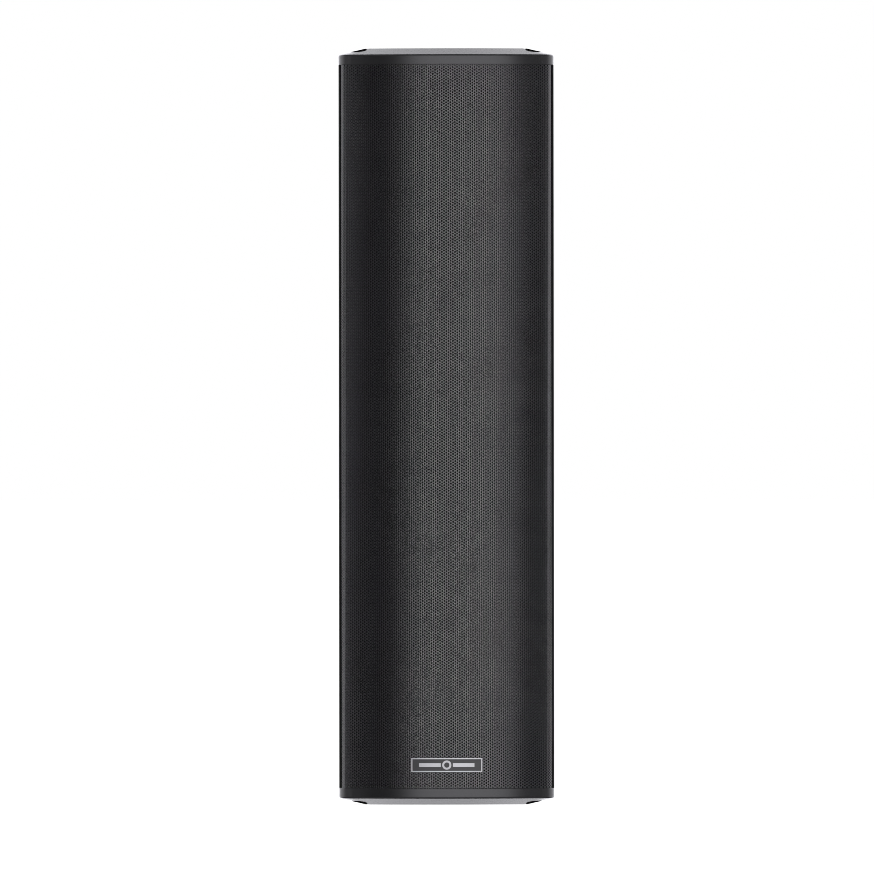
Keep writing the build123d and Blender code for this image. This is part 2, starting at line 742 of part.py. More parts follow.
def input_connector_pins():
    """Four square pins through the header's floor, with pointed tips."""
    floor = CUP_FLOOR_Y
    pin = block((-0.5, 0.5), (floor - 9, floor + 9), (-0.5, 0.5))
    tip = Plane(origin=(0, floor + 9, 0), z_dir=(0, 1, 0)) * Rectangle(1, 1)
    point = Plane(origin=(0, floor + 10, 0), z_dir=(0, 1, 0)) * Rectangle(0.5, 0.5)
    pin += loft([tip, point], ruled=True)
    return [Pos(CONNECTOR_X + x, 0, CUP_Z) * pin for x in PIN_PLACES]


def tap_selector_switch():
    """The rotary switch behind the cup's floor, with its threaded bush."""
    floor = CUP_FLOOR_Y - CUP_WALL
    body = block((-14, 14), (floor - 16, floor), (-14, 14)) + rod(0, 0, 4.5, floor, floor + 6.5)
    body -= rod(0, 0, 3.05, floor - 12, floor + 7)
    for i in range(6):
        angle = math.radians(60 * i)
        tag = block((-0.6, 0.6), (floor - 20, floor - 16), (-1.5, 1.5))
        body += Pos(10 * math.cos(angle), 0, 10 * math.sin(angle)) * tag
    return Pos(KNOB_X, 0, CUP_Z) * body


def tap_selector_shaft():
    """The switch's turning shaft."""
    floor = CUP_FLOOR_Y - CUP_WALL
    return rod(KNOB_X, CUP_Z, 3.0, floor - 11.7, floor + 19)


def tap_selector_knob():
    """A fluted knob with a groove for its pointer line, on the switch's shaft."""
    front, back = CUP_FLOOR_Y + 4.6, CUP_FLOOR_Y + 19.5
    body = rod(0, 0, KNOB_R, front, back) + rod(0, 0, KNOB_R + 2, front, front + 3)
    body -= rod(0, 0, 3.0, front - 1, CUP_FLOOR_Y - CUP_WALL + 19)
    body -= rod(0, 0, 5.2, front - 1, front + 0.6)
    for i in range(12):
        angle = math.radians(30 * i + 15)
        flute = rod(KNOB_R * math.cos(angle), KNOB_R * math.sin(angle), 1.2, front + 3, back + 1)
        body -= flute
    body -= block((-0.9, 0.9), (back - 0.6, back + 1), (1.4, KNOB_R - 1.2))
    return Pos(KNOB_X, 0, CUP_Z) * body


def tap_selector_pointer():
    """The white line let into the knob's face, a little proud of it."""
    back = CUP_FLOOR_Y + 19.5
    line = block((-0.85, 0.85), (back - 0.6, back + 0.3), (1.45, KNOB_R - 1.25))
    return Pos(KNOB_X, 0, CUP_Z) * line


def tap_selector_scale():
    """Five raised marks on the cup's floor, one for each setting of the knob."""
    mark = block((-0.6, 0.6), (CUP_FLOOR_Y, CUP_FLOOR_Y + 0.4), (KNOB_R + 4.5, KNOB_R + 8))
    return [Pos(KNOB_X, 0, CUP_Z) * Rot(0, 30 * i, 0) * mark for i in range(-2, 3)]


def crossover_board():
    """The circuit board, upright in front of the back wall."""
    wide, high, thick = BOARD
    back = BACK_IN_Y - BOARD_OFF
    return block((-wide / 2, wide / 2), (back - thick, back), (BOARD_Z - high / 2, BOARD_Z + high / 2))


def board_standoffs():
    """Four pillars between the board and the wall."""
    wide, high, _ = BOARD
    back = BACK_IN_Y - BOARD_OFF
    places = [(x, z) for x in (-1, 1) for z in (-1, 1)]
    return [
        rod(x * (wide / 2 - 5), BOARD_Z + z * (high / 2 - 5), 3.5, back, BACK_IN_Y)
        for x, z in places
    ]


def crossover_capacitors():
    """Three film capacitors lying on the board."""
    front = BACK_IN_Y - BOARD_OFF - BOARD[2]
    cans = []
    for x, z, radius in ((-30, 20, 8), (-30, 0, 8), (-30, -19, 7)):
        can = Rot(0, 90, 0) * Cylinder(radius, 32)
        cans.append(Pos(x, front - radius, BOARD_Z + z) * can)
    return cans


def crossover_inductors():
    """Two air-cored coils, one flat on the board and one on edge."""
    front = BACK_IN_Y - BOARD_OFF - BOARD[2]
    flat = rod(20, BOARD_Z + 10, 17, front - 16, front) - rod(20, BOARD_Z + 10, 8, -BIG, BIG)
    edge = Pos(8, front - 13, BOARD_Z - 24) * (Cylinder(13, 12) - Cylinder(6, 12))
    return [flat, edge]


def crossover_resistors():
    """Two cement resistors."""
    front = BACK_IN_Y - BOARD_OFF - BOARD[2]
    bars = []
    for z in (-16.0, -29.0):
        bars.append(block((22, 46), (front - 9, front), (BOARD_Z + z - 4.5, BOARD_Z + z + 4.5)))
    return bars


def line_transformer():
    """The laminated core and the winding round its middle leg, as two solids."""
    wide, deep, high = CORE
    back = BACK_IN_Y - 8
    core = block((-wide / 2, wide / 2), (back - deep, back), (-high / 2, high / 2))
    opening = high - LEG
    for side in (-1, 1):
        gap = sorted((side * LEG / 2, side * LEG))
        core -= block(gap, (-BIG, BIG), (-opening / 2, opening / 2))
    winding = block((-LEG + 0.2, LEG - 0.2), (back - deep - 7, back + 7), (-16, 16))
    winding -= block((-LEG / 2 - 0.2, LEG / 2 + 0.2), (back - deep - 0.2, back + 0.2), (-BIG, BIG))
    return [Pos(0, 0, TRANSFORMER_Z) * shape for shape in (core, winding)]


def transformer_bracket():
    """Two steel feet that hold the core off the wall."""
    wide, deep, high = CORE
    back = BACK_IN_Y - 8
    feet = []
    for side in (-1, 1):
        near, far = side * wide / 2, side * (wide / 2 + 1.5)
        toe = side * (wide / 2 + 12)
        foot = block(sorted((near, far)), (back - deep, BACK_IN_Y), (-10, 10))
        foot += block(sorted((near, toe)), (BACK_IN_Y - 1.5, BACK_IN_Y), (-10, 10))
        feet.append(Pos(0, 0, TRANSFORMER_Z) * foot)
    return feet


def lead(*route):
    """A round wire along straight runs joined by arcs as large as the runs allow."""
    points = [Vector(*point) for point in route]
    radii = []
    for before, here, after in zip(points, points[1:], points[2:]):
        turn = (here - before).get_angle(after - here)
        shorter = min((here - before).length, (after - here).length)
        radii.append(0.45 * shorter / math.tan(math.radians(turn) / 2))
    print("lead radii", [round(radius, 1) for radius in radii])
    path = FilletPolyline(*points, radius=radii)
    start = Plane(origin=path @ 0, z_dir=path % 0)
    return sweep(start * Circle(LEAD_R), path=path)


def driver_lead(side, board_y, way, z):
    """One lead from the board's edge, bowed along the cabinet's side, to a woofer's tag."""
    tag_y = BAFFLE_Y + 36
    start = BOARD_Z + way * 18
    end = z - way * 3
    steps = max(3, math.ceil(abs(end - start) / 55))
    route = [
        (side * 51, board_y - 1.2, start),
        (side * 52, board_y - 14, start + way * 1.5),
    ]
    for i in range(1, steps):
        part = i / steps
        bow = math.sin(math.pi * part)
        x = 64 + 9 * bow
        y = board_y - 24 - 24 * part + 5 * bow
        route.append((side * x, y, start + (end - start) * part))
    route += [(side * 58, tag_y + 11, end), (side * 44, tag_y, z)]
    return lead(*route)


def wiring_harness():
    """The leads from the terminals to the transformer, the board and each driver."""
    board_y = BACK_IN_Y - BOARD_OFF - BOARD[2]
    leads = []
    for number, z in enumerate(WOOFERS):
        side = 1 if number % 2 else -1
        way = 1 if z > BOARD_Z else -1
        leads.append(driver_lead(side, board_y, way, z))
    leads.append(
        lead(
            (-51, board_y - 1.2, BOARD_Z - 4),
            (-53, board_y - 16, BOARD_Z - 8),
            (-56, board_y - 46, TWEETER_Z + 14),
            (-50, BAFFLE_Y + 34, TWEETER_Z + 3),
            (-36, BAFFLE_Y + 21, TWEETER_Z),
        )
    )
    winding_top = TRANSFORMER_Z + 17
    winding_y = BACK_IN_Y - 8 - CORE[1] - 4
    leads.append(
        lead(
            (CONNECTOR_X, CUP_FLOOR_Y - 10, CUP_Z - 4),
            (CONNECTOR_X, CUP_FLOOR_Y - 20, CUP_Z - 8),
            (CONNECTOR_X + 4, winding_y - 4, winding_top + 28),
            (CONNECTOR_X + 6, winding_y, winding_top),
        )
    )
    leads.append(
        lead(
            (8, winding_y, winding_top),
            (10, winding_y - 4, winding_top + 40),
            (12, winding_y - 8, winding_top + 95),
            (8, winding_y - 4, winding_top + 140),
            (-6, board_y - 12, BOARD_Z - 44),
            (-12, board_y - 1.2, BOARD_Z - 32),
        )
    )
    return leads


def put(name, shapes):
    """Write one node: a single solid, or a group of separate solids."""
    shapes = shapes if isinstance(shapes, (list, tuple)) else [shapes]
    solids = [solid for shape in shapes for solid in shape.solids()]
    whole = solids[0] if len(solids) == 1 else Compound(children=solids)
    export_step(whole, f"parts/{name}.step")


def panel_screws():
    """The small screws, joined in one node: baffle, woofers, tweeter and terminal cup."""
    screws = [panel_screw(x, z, BAFFLE_Y, 4, 2.5, 1.6, 11) for x, z in baffle_screw_places()]
    seat = BAFFLE_Y - FRAME_T - SEAL_T
    for middle in WOOFERS:
        places = frame_screw_places(middle)
        screws += [panel_screw(x, z, seat, 3.8, 2.4, 1.9, 14) for x, z in places]
    seat = BAFFLE_Y - TWEETER_T
    screws += [panel_screw(x, z, seat, 3.4, 2.2, 1.6, 12) for x, z in tweeter_screw_places()]
    screw = terminal_cup_screw()
    return screws + [Pos(x, 0, CUP_Z + z) * screw for x, z in CUP_SCREWS]


def put_cabinet():
    top, bottom = top_and_bottom(cap())
    put("cabinet_extrusion", cabinet_extrusion())
    put("top_cap", top)
    put("bottom_cap", bottom)
    put("cap_gaskets", top_and_bottom(cap_gasket()))
    put("cap_screws", cap_screws())
    put("cap_screw_liners", cap_screw_liners())
    put("rear_inserts", rear_inserts())
    put("front_grille", front_grille())
    put("grille_foam", grille_foam())
    put("left_edge_strip", edge_strip(-1))
    put("right_edge_strip", edge_strip(1))
    put("badge", badge())


def put_drivers():
    put("front_baffle", front_baffle())
    makers = {
        "basket": woofer_basket,
        "motor": woofer_motor,
        "cone": woofer_cone,
        "voice_coil": woofer_voice_coil,
        "surround": woofer_surround,
        "spider": woofer_spider,
    }
    for piece, maker in makers.items():
        shapes = maker()
        shapes = shapes if isinstance(shapes, list) else [shapes]
        for number, z in enumerate(WOOFERS, start=1):
            put(f"woofer_{number}_{piece}", [Pos(0, BAFFLE_Y, z) * shape for shape in shapes])
    put("woofer_gaskets", [Pos(0, BAFFLE_Y, z) * woofer_gasket() for z in WOOFERS])
    at = Pos(0, BAFFLE_Y, TWEETER_Z)
    put("tweeter_waveguide", at * tweeter_waveguide())
    put("tweeter_diaphragm", at * tweeter_diaphragm())
    put("tweeter_surround", at * tweeter_surround())
    put("tweeter_motor", [at * shape for shape in tweeter_motor()])
    put("panel_screws", panel_screws())


def put_electronics():
    at = Pos(0, 0, CUP_Z)
    put("terminal_cup", at * terminal_cup())
    put("terminal_cup_gasket", at * terminal_cup_gasket())
    put("input_connector", input_connector())
    put("input_connector_pins", input_connector_pins())
    put("tap_selector_switch", tap_selector_switch())
    put("tap_selector_shaft", tap_selector_shaft())
    put("tap_selector_knob", tap_selector_knob())
    put("tap_selector_pointer", tap_selector_pointer())
    put("tap_selector_scale", tap_selector_scale())
    put("crossover_board", crossover_board())
    put("board_standoffs", board_standoffs())
    put("crossover_capacitors", crossover_capacitors())
    put("crossover_inductors", crossover_inductors())
    put("crossover_resistors", crossover_resistors())
    put("line_transformer", line_transformer())
    put("transformer_bracket", transformer_bracket())
    put("wiring_harness", wiring_harness())


os.makedirs("parts", exist_ok=True)
put_cabinet()
put_drivers()
put_electronics()
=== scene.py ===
"""The looks of a column loudspeaker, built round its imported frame."""

import math

import bmesh
import bpy
import numpy as np
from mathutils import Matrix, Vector


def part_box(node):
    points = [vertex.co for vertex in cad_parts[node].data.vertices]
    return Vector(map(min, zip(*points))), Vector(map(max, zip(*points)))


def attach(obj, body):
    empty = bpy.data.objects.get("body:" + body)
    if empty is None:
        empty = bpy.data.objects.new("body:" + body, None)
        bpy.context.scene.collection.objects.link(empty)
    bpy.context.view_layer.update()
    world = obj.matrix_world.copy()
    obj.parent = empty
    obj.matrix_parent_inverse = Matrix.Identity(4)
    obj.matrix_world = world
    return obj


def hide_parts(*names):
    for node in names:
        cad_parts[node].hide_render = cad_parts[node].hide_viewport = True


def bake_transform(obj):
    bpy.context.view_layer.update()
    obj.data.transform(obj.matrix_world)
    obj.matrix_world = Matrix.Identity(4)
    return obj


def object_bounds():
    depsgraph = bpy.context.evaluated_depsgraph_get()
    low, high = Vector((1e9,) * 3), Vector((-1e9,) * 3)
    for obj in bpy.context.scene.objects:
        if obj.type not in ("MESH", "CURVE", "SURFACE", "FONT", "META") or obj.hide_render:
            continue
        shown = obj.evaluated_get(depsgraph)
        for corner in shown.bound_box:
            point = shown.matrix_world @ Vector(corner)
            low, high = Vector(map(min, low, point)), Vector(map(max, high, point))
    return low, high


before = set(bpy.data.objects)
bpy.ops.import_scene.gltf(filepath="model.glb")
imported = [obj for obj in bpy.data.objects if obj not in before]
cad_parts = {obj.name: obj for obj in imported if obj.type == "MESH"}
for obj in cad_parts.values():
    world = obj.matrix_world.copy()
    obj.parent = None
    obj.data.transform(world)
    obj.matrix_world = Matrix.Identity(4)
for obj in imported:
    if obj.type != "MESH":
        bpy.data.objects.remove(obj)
cad_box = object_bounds()

MM = 0.001

# The plan that the caps, grille and cabinet share, as in the design
FRONT_RADIUS = 215.0 * MM
FRONT_CORNER = 20.0 * MM
WIDTH = cad_box[1][0] - cad_box[0][0]
FRONT_Y = cad_box[0][1]
FRONT_CENTRE_Y = FRONT_Y + FRONT_RADIUS
CORNER_X = WIDTH / 2 - FRONT_CORNER
CORNER_Y = FRONT_CENTRE_Y - math.sqrt((FRONT_RADIUS - FRONT_CORNER) ** 2 - CORNER_X**2)
CORNER_STARTS = math.atan2(CORNER_X, FRONT_CENTRE_Y - CORNER_Y)

# Perforation: staggered columns, each hole in its own six-sided cell
COLUMN_STEP = 2.055 * MM
ROW_STEP = 2.62 * MM
CELL_REACH = COLUMN_STEP / 2 + ROW_STEP**2 / (8 * COLUMN_STEP)
HOLE_R = 0.93 * MM
HOLE_SIDES = 8
GRILLE_INSET = 1.3 * MM
GRILLE_T = 1.2 * MM
LAST_HOLE = math.radians(73)
GRILLE_EDGE = math.radians(85)
GRILLE_BANDS = 8

# How far the badge's plate and its raised lines stand proud of the grille, and how thick they are
PLATE_PROUD = 0.5 * MM
LINE_PROUD = 0.9 * MM
LINE_THICK = 0.45 * MM
LINE_WIDE = 1.1 * MM
LINE_SOFT = 0.12 * MM

# Drivers: the moulded rolls and corrugations, as radii and skins
WOOFERS = (1, 2, 3, 4)
ROLL = (43.6 * MM, 46.6 * MM, 55.4 * MM)
ROLL_RISE = 3.9 * MM
ROLL_SKIN = 0.7 * MM
CLOTH_IN = 12.95 * MM
CLOTH_GLUE = 14.0 * MM
CLOTH_OUT = 36.5 * MM
CLOTH_SKIN = 0.6 * MM
SMALL_ROLL = (12.55 * MM, 13.0 * MM, 16.2 * MM)
SMALL_RIM = 24.0 * MM
SMALL_RISE = 1.5 * MM
SMALL_SKIN = 0.4 * MM

TURN = 2 * math.pi


# ---------------------------------------------------------------- shader maths

class Value:
    """A number that varies over a surface: a socket that adds up like a Python number."""

    def __init__(self, shade, socket):
        self.shade = shade
        self.socket = socket

    def combine(self, operation, first, second=None):
        return self.shade.math(operation, first, second)

    def __add__(self, other):
        return self.combine("ADD", self, other)

    def __radd__(self, other):
        return self.combine("ADD", other, self)

    def __sub__(self, other):
        return self.combine("SUBTRACT", self, other)

    def __rsub__(self, other):
        return self.combine("SUBTRACT", other, self)

    def __mul__(self, other):
        return self.combine("MULTIPLY", self, other)

    def __rmul__(self, other):
        return self.combine("MULTIPLY", other, self)

    def __truediv__(self, other):
        return self.combine("DIVIDE", self, other)

    def __neg__(self):
        return self.combine("MULTIPLY", self, -1.0)

    def __abs__(self):
        return self.combine("ABSOLUTE", self)


class Shade:
    """One node tree, and the one way that a node is added to it."""

    def __init__(self, tree):
        self.tree = tree
        self.kept = {}

    def node(self, kind, settings=None, sockets=None):
        """Add a node: its settings first, a ramp's stops among them, then values or links."""
        made = self.tree.nodes.new("ShaderNode" + kind)
        for key, value in (settings or {}).items():
            if key == "stops":
                ramp = made.color_ramp.elements
                while len(ramp) < len(value):
                    ramp.new(0.5)
                for stop, (place, colour) in zip(ramp, value):
                    stop.position = place
                    stop.color = (*colour, 1)
            else:
                setattr(made, key, value)
        for key, value in (sockets or {}).items():
            self.plug(made.inputs[key], value)
        return made

    def plug(self, socket, value):
        """Set a socket to a plain value, or link another node's output to it."""
        source = value.socket if isinstance(value, Value) else value
        if isinstance(source, bpy.types.NodeSocket):
            self.tree.links.new(source, socket)
        else:
            socket.default_value = source

    def math(self, operation, first, second=None):
        """Add a maths node on one or two values."""
        sockets = {0: first}
        if second is not None:
            sockets[1] = second
        made = self.node("Math", {"operation": operation}, sockets)
        return Value(self, made.outputs[0])

    def between(self, low, high, value):
        """0 below low, 1 above high, and smooth between them."""
        made = self.node(
            "MapRange",
            {"interpolation_type": "SMOOTHSTEP"},
            {"Value": value, "From Min": low, "From Max": high},
        )
        return Value(self, made.outputs["Result"])

    def place(self):
        """The object's own coordinates, in metres."""
        if "place" not in self.kept:
            self.kept["place"] = self.node("TexCoord").outputs["Object"]
        return self.kept["place"]

    def axes(self):
        """X, Y and Z as three values."""
        if "axes" not in self.kept:
            made = self.node("SeparateXYZ", None, {0: self.place()})
            self.kept["axes"] = [Value(self, made.outputs[i]) for i in range(3)]
        return self.kept["axes"]

    def stretched(self, scale):
        """The coordinates scaled differently along each axis."""
        made = self.node("VectorMath", {"operation": "MULTIPLY"}, {0: self.place(), 1: scale})
        return made.outputs[0]

    def noise(self, scale, detail=2.0, roughness=0.5, stretch=None):
        """Cloudy noise from 0 to 1, with features about 1 / scale metres across."""
        where = self.place() if stretch is None else self.stretched(stretch)
        sockets = {"Vector": where, "Scale": scale, "Detail": detail, "Roughness": roughness}
        return Value(self, self.node("TexNoise", None, sockets).outputs[0])

    def cells(self, scale, feature="F1"):
        """Distance to the nearest of a scatter of points."""
        sockets = {"Vector": self.place(), "Scale": scale}
        made = self.node("TexVoronoi", {"feature": feature}, sockets)
        return Value(self, made.outputs[0])

    def waves(self, value, pitch):
        """0 to 1 and back, once each pitch along a value."""
        return 0.5 + 0.5 * self.math("SINE", value * (TURN / pitch))

    def blend(self, factor, first, second):
        """One colour fading to another."""
        made = self.node(
            "Mix", {"data_type": "RGBA"}, {0: factor, 6: (*first, 1), 7: (*second, 1)}
        )
        return made.outputs[2]


class Finish(Shade):
    """A surface finish: a material whose Principled shader takes the patterns."""

    def __init__(self, name):
        self.material = bpy.data.materials.new(name)
        self.material.use_nodes = True
        super().__init__(self.material.node_tree)
        self.shader = self.tree.nodes["Principled BSDF"]

    def set(self, **sockets):
        """Set the shader's sockets; a name's underscores stand for spaces."""
        for name, value in sockets.items():
            self.plug(self.shader.inputs[name.replace("_", " ")], value)
        return self

    def relief(self, height, depth):
        """Small relief: a height from 0 to 1 that stands for a depth in metres."""
        made = self.node("Bump", None, {"Strength": 1.0, "Distance": depth, "Height": height})
        self.plug(self.shader.inputs["Normal"], made.outputs[0])
        return self


def shades(colour, change):
    """A colour a little darker and a little lighter."""
    return [c * (1 - change) for c in colour], [c * (1 + change) for c in colour]


# ------------------------------------------------------------------- finishes

def powder_coat():
    """Textured black powder coat on the extruded sides, with faint draw lines up the profile."""
    f = Finish("powder_coat")
    grain = f.noise(2600, 3)
    patches = f.noise(9, 3)
    lines = f.noise(900, 2, stretch=(1, 1, 0.004))
    colour = f.blend(f.between(0.35, 0.65, patches), *shades((0.0135, 0.0135, 0.0142), 0.14))
    f.set(Base_Color=colour, Roughness=0.40 + 0.10 * grain + 0.05 * (lines - 0.5))
    return f.relief(0.8 * grain + 0.2 * lines, 0.00006).material


def satin_coat():
    """Smooth satin coat on the cast caps, with a faint orange-peel surface."""
    f = Finish("satin_coat")
    peel = f.noise(420, 2)
    dust = f.noise(2400, 2)
    patches = f.noise(14, 2)
    colour = f.blend(f.between(0.3, 0.7, patches), *shades((0.0130, 0.0130, 0.0136), 0.12))
    f.set(Base_Color=colour, Roughness=0.22 + 0.04 * patches + 0.02 * dust)
    return f.relief(0.7 * peel + 0.3 * dust, 0.000006).material


def liner_rubber():
    """Near-black rubber that reflects next to nothing, lining the screw recesses as painted shade.
    """
    f = Finish("liner_rubber")
    mottle = f.noise(900, 3)
    # Near-black colour and almost no specular make the recess read as shadow: painted shade, with
    # a faint random mottle.
    colour = f.blend(mottle, (0.0008, 0.0008, 0.0008), (0.0040, 0.0040, 0.0040))
    f.set(Base_Color=colour, Roughness=0.95, Specular_IOR_Level=0.02)
    return f.relief(mottle, 0.00002).material


def grille_coat():
    """The same satin coat on the perforated steel, a little rougher."""
    f = Finish("grille_coat")
    grain = f.noise(3000, 2)
    patches = f.noise(11, 3)
    colour = f.blend(f.between(0.3, 0.7, patches), *shades((0.0126, 0.0126, 0.0146), 0.14))
    f.set(Base_Color=colour, Roughness=0.24 + 0.05 * grain + 0.02 * patches)
    f.set(Specular_IOR_Level=0.82)
    return f.relief(grain, 0.000015).material


def edge_rubber():
    """Dull extruded rubber with fine lines along its length."""
    f = Finish("edge_rubber")
    lines = f.noise(1800, 2, stretch=(1, 1, 0.01))
    bloom = f.noise(40, 4)
    colour = f.blend(f.between(0.35, 0.7, bloom), (0.004, 0.004, 0.004), (0.008, 0.008, 0.008))
    f.set(Base_Color=colour, Roughness=0.78 + 0.12 * lines, Specular_IOR_Level=0.25)
    return f.relief(lines, 0.00004).material


def seal_rubber():
    """Closed-cell seal, darker inside its pores as painted shade."""
    f = Finish("seal_rubber")
    pore_depth_and_shade = f.cells(2200)
    # The pores' depth also darkens the colour there: painted shade.
    colour = f.blend(f.between(0.1, 0.6, pore_depth_and_shade), (0.006, 0.006, 0.006), (0.018, 0.018, 0.018))
    f.set(Base_Color=colour, Roughness=0.85)
    return f.relief(pore_depth_and_shade, 0.0001).material


def open_foam():
    """Open-cell black foam, darker down in its pits as painted shade."""
    f = Finish("open_foam")
    cells = f.cells(1400)
    pit_depth_and_shade = f.between(0.15, 0.6, cells)
    # The pits' depth also darkens the colour there: painted shade.
    colour = f.blend(pit_depth_and_shade, (0.0012, 0.0012, 0.0013), (0.004, 0.004, 0.0042))
    f.set(Base_Color=colour, Roughness=0.95, Specular_IOR_Level=0.05)
    return f.relief(pit_depth_and_shade, 0.0004).material


def black_oxide():
    """Blackened steel screws with a trace of oil."""
    f = Finish("black_oxide")
    smear = f.noise(160, 4)
    fine = f.noise(3000, 2)
    colour = f.blend(f.between(0.3, 0.7, smear), (0.018, 0.018, 0.020), (0.040, 0.039, 0.040))
    f.set(Base_Color=colour, Metallic=1.0, Roughness=0.34 + 0.16 * smear)
    return f.relief(fine, 0.00002).material


def brushed(name, colour, lines_along, rough=0.30):
    """Brushed or turned bare metal, with its lines along one direction."""
    f = Finish(name)
    lines = f.noise(3400, 3, stretch=lines_along)
    smear = f.noise(60, 3)
    f.set(
        Base_Color=f.blend(lines, *shades(colour, 0.12)),
        Metallic=1.0,
        Roughness=rough - 0.06 + 0.12 * lines + 0.05 * smear,
    )
    return f.relief(lines, 0.000015).material


def moulded(name, colour, grain=1500, rough=0.5, depth=0.00006):
    """Moulded plastic with a fine spark-eroded grain."""
    f = Finish(name)
    spots = f.cells(grain)
    cloud = f.noise(20, 3)
    f.set(
        Base_Color=f.blend(f.between(0.3, 0.7, cloud), *shades(colour, 0.10)),
        Roughness=rough + 0.10 * spots,
    )
    return f.relief(spots, depth).material


def painted_board():
    """Black paint over fibreboard."""
    f = Finish("painted_board")
    fibres = f.noise(500, 6, 0.7)
    colour = f.blend(fibres, (0.010, 0.010, 0.010), (0.024, 0.023, 0.022))
    f.set(Base_Color=colour, Roughness=0.6 + 0.2 * fibres)
    return f.relief(fibres, 0.0001).material


def motor_metal():
    """Dark ferrite between blackened plates, told apart by depth into the motor."""
    f = Finish("motor_metal")
    _, y, _ = f.axes()
    plates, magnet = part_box("woofer_1_motor"), MOTOR_PLATE
    inside = f.between(plates[0].y + magnet, plates[0].y + magnet + 0.0002, y)
    inside = inside * (1 - f.between(plates[1].y - magnet, plates[1].y - magnet + 0.0002, y))
    speck = f.noise(1600, 4)
    colour = f.blend(inside * 0.9 + 0.1 * speck, (0.075, 0.073, 0.070), (0.016, 0.016, 0.018))
    f.set(Base_Color=colour, Metallic=1 - inside, Roughness=0.42 + 0.3 * speck)
    return f.relief(speck, 0.00005).material


def pulp_cone():
    """Pressed paper pulp with loose fibres."""
    f = Finish("pulp_cone")
    fibres = f.noise(900, 6, 0.75, stretch=(1, 1, 0.35))
    colour = f.blend(f.between(0.35, 0.75, fibres), (0.013, 0.013, 0.012), (0.040, 0.038, 0.036))
    f.set(Base_Color=colour, Roughness=0.82)
    return f.relief(fibres, 0.00012).material


def wound_copper(name, pitch, axis):
    """Enamelled copper wire wound side by side, darker in the grooves between turns as painted
    shade.
    """
    f = Finish(name)
    turn_ridges_and_shade = f.waves(f.axes()[axis], pitch)
    tone = f.noise(300, 3)
    # Darker copper in the grooves between turns and brighter copper on their crests: painted
    # shade; the tone noise is random.
    colour = f.blend(0.6 * turn_ridges_and_shade + 0.4 * tone, (0.20, 0.052, 0.016), (0.72, 0.26, 0.10))
    f.set(Base_Color=colour, Metallic=1.0, Roughness=0.26 + 0.12 * tone, Coat_Weight=0.4)
    return f.relief(turn_ridges_and_shade, 0.00012).material


def surround_rubber():
    """Smooth butyl half-roll."""
    f = Finish("surround_rubber")
    cloud = f.noise(70, 4)
    fine = f.noise(2500, 2)
    colour = f.blend(cloud, (0.006, 0.006, 0.006), (0.014, 0.014, 0.015))
    f.set(Base_Color=colour, Roughness=0.42 + 0.2 * cloud)
    return f.relief(fine, 0.00003).material


def spider_cloth():
    """Resin-dipped woven cloth."""
    f = Finish("spider_cloth")
    x, _, z = f.axes()
    weave = f.waves(x, 0.0007) * f.waves(z, 0.0007)
    dip = f.noise(90, 3)
    colour = f.blend(0.7 * weave + 0.3 * dip, (0.22, 0.12, 0.035), (0.60, 0.40, 0.16))
    f.set(Base_Color=colour, Roughness=0.75)
    return f.relief(weave, 0.00015).material


def circuit_laminate():
    """Green solder mask over tracks."""
    f = Finish("circuit_laminate")
    x, _, z = f.axes()
    tracks = f.between(0.80, 0.86, f.waves(x + 0.3 * z, 0.009))
    glass = f.waves(x, 0.0006) * f.waves(z, 0.0006)
    colour = f.blend(0.6 * tracks + 0.15 * glass, (0.006, 0.060, 0.022), (0.030, 0.22, 0.08))
    f.set(Base_Color=colour, Roughness=0.34, Coat_Weight=0.3)
    return f.relief(tracks, 0.00005).material


def film_can():
    """Yellow polyester tape round a capacitor, with the tape's edge line."""
    f = Finish("film_can")
    x, _, _ = f.axes()
    wrap = f.noise(120, 3, stretch=(0.2, 1, 1))
    seam = f.between(0.93, 0.97, f.waves(x, 0.016))
    colour = f.blend(0.8 * wrap + 0.4 * seam, (0.62, 0.33, 0.030), (0.40, 0.18, 0.015))
    f.set(Base_Color=colour, Roughness=0.30 + 0.1 * wrap)
    return f.relief(wrap, 0.00006).material


def cement():
    """Pale cast cement."""
    f = Finish("cement")
    grit = f.noise(1500, 5, 0.7)
    colour = f.blend(grit, (0.55, 0.54, 0.50), (0.80, 0.79, 0.75))
    f.set(Base_Color=colour, Roughness=0.85)
    return f.relief(grit, 0.0001).material


def laminations():
    """Stacked core sheets under varnish."""
    f = Finish("laminations")
    _, y, _ = f.axes()
    sheets = f.waves(y, 0.0007)
    rust = f.noise(120, 4)
    colour = f.blend(0.6 * sheets + 0.4 * rust, (0.030, 0.027, 0.024), (0.12, 0.105, 0.09))
    f.set(Base_Color=colour, Metallic=0.6, Roughness=0.45 + 0.2 * rust, Coat_Weight=0.3)
    return f.relief(sheets, 0.00015).material


def insulation():
    """Wire insulation, red above the knob's axis of the cabinet and black on the other side."""
    f = Finish("insulation")
    x, _, _ = f.axes()
    scuff = f.noise(300, 3)
    colour = f.blend(f.between(-0.004, 0.004, x), (0.30, 0.012, 0.012), (0.012, 0.012, 0.013))
    f.set(Base_Color=colour, Roughness=0.38 + 0.2 * scuff)
    return f.relief(scuff, 0.00003).material


def pale_floor():
    """A plain, nearly white floor."""
    f = Finish("pale_floor")
    cloud = f.noise(1.5, 2)
    f.set(
        Base_Color=f.blend(cloud, (0.34, 0.34, 0.34), (0.36, 0.36, 0.36)),
        Roughness=0.9,
        Specular_IOR_Level=0.0,
        Emission_Color=(1, 1, 1, 1),
        Emission_Strength=0.93,
    )
    return f.material


MOTOR_PLATE = 5.0 * MM


def dress(finish, *nodes):
    """Give carried-over CAD nodes a finish."""
    for name in nodes:
        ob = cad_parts[name]
        ob.data.materials.clear()
        ob.data.materials.append(finish)


